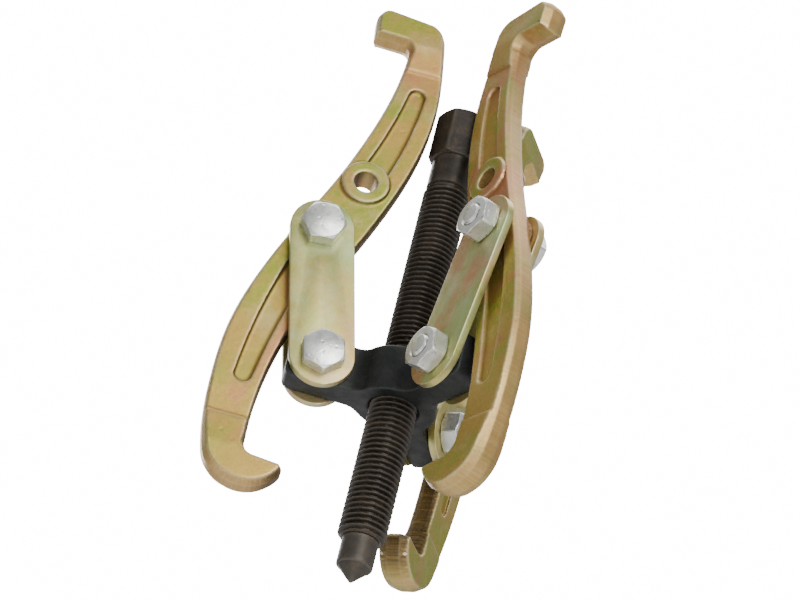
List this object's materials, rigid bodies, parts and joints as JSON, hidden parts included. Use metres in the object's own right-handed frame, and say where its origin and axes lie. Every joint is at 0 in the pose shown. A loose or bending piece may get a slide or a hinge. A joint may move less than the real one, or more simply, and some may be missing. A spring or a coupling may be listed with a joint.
{
  "type": "gear puller",
  "caption": "Reversible jaw puller: a hexagon-headed forcing screw in a lugged hub, with pairs of flat straps hinged to S-shaped forged jaws.",
  "frame": {"origin": "on the screw's axis at the height of the hub's hinge bolts", "axes": "+Z along the screw towards its hexagon head; arm a stands along -X, and arms b and c at 300 and 60 degrees from +X"},
  "size_m": [0.1262, 0.1431, 0.2763],
  "materials": {
    "black_screw": "oiled black phosphate",
    "point_steel": "heat-browned black steel",
    "black_hub": "satin black",
    "yellow_zinc_strap": "yellow passivated zinc",
    "yellow_zinc_jaw": "yellow passivated zinc on a forging",
    "white_zinc": "bright white zinc"
  },
  "bodies": {
    "hub": {"hub": "black_hub"},
    "point": {"centre_point": "point_steel"},
    "screw": {"forcing_screw": "black_screw"},
    "link_a": {"strap_a_head_side": "yellow_zinc_strap", "strap_a_nut_side": "yellow_zinc_strap", "hub_bolt_a": "white_zinc", "hub_nut_a": "white_zinc", "jaw_bolt_a": "white_zinc", "jaw_nut_a": "white_zinc"},
    "jaw_a": {"jaw_a": "yellow_zinc_jaw"},
    "link_b": {"strap_b_head_side": "yellow_zinc_strap", "strap_b_nut_side": "yellow_zinc_strap", "hub_bolt_b": "white_zinc", "hub_nut_b": "white_zinc", "jaw_bolt_b": "white_zinc", "jaw_nut_b": "white_zinc"},
    "jaw_b": {"jaw_b": "yellow_zinc_jaw"},
    "link_c": {"strap_c_head_side": "yellow_zinc_strap", "strap_c_nut_side": "yellow_zinc_strap", "hub_bolt_c": "white_zinc", "hub_nut_c": "white_zinc", "jaw_bolt_c": "white_zinc", "jaw_nut_c": "white_zinc"},
    "jaw_c": {"jaw_c": "yellow_zinc_jaw"}
  },
  "joints": [
    {"name": "screw_feed", "type": "slide", "parent": "hub", "child": "point", "axis": [0, 0, 1], "range_m": [-0.1, 0.055]},
    {"name": "screw_turn", "type": "hinge", "parent": "point", "child": "screw", "pos_m": [0, 0, 0], "axis": [0, 0, 1], "range_deg": [-14400, 7920]},
    {"name": "link_a_swing", "type": "hinge", "parent": "hub", "child": "link_a", "pos_m": [-0.0345, 0, 0], "axis": [0, -1, 0], "range_deg": [0, 60]},
    {"name": "jaw_a_swing", "type": "hinge", "parent": "link_a", "child": "jaw_a", "pos_m": [-0.04831, 0, 0.05983], "axis": [0, -1, 0], "range_deg": [-42.5, 0.5]},
    {"name": "link_b_swing", "type": "hinge", "parent": "hub", "child": "link_b", "pos_m": [0.01725, -0.02988, 0], "axis": [0.866, 0.5, 0], "range_deg": [0, 60]},
    {"name": "jaw_b_swing", "type": "hinge", "parent": "link_b", "child": "jaw_b", "pos_m": [0.02416, -0.04184, 0.05983], "axis": [0.866, 0.5, 0], "range_deg": [-42.5, 0.5]},
    {"name": "link_c_swing", "type": "hinge", "parent": "hub", "child": "link_c", "pos_m": [0.01725, 0.02988, 0], "axis": [-0.866, 0.5, 0], "range_deg": [-4, 51]},
    {"name": "jaw_c_swing", "type": "hinge", "parent": "link_c", "child": "jaw_c", "pos_m": [0.02974, 0.05151, 0.05609], "axis": [-0.866, 0.5, 0], "range_deg": [-36, 3.5]}
  ],
  "couplings": [
    {"joint": "screw_turn", "follows": "screw_feed", "rad_per_m": 2513.3},
    {"joint": "jaw_a_swing", "follows": "link_a_swing", "ratio": -0.7},
    {"joint": "jaw_b_swing", "follows": "link_b_swing", "ratio": -0.7},
    {"joint": "jaw_c_swing", "follows": "link_c_swing", "ratio": -0.7}
  ]
}
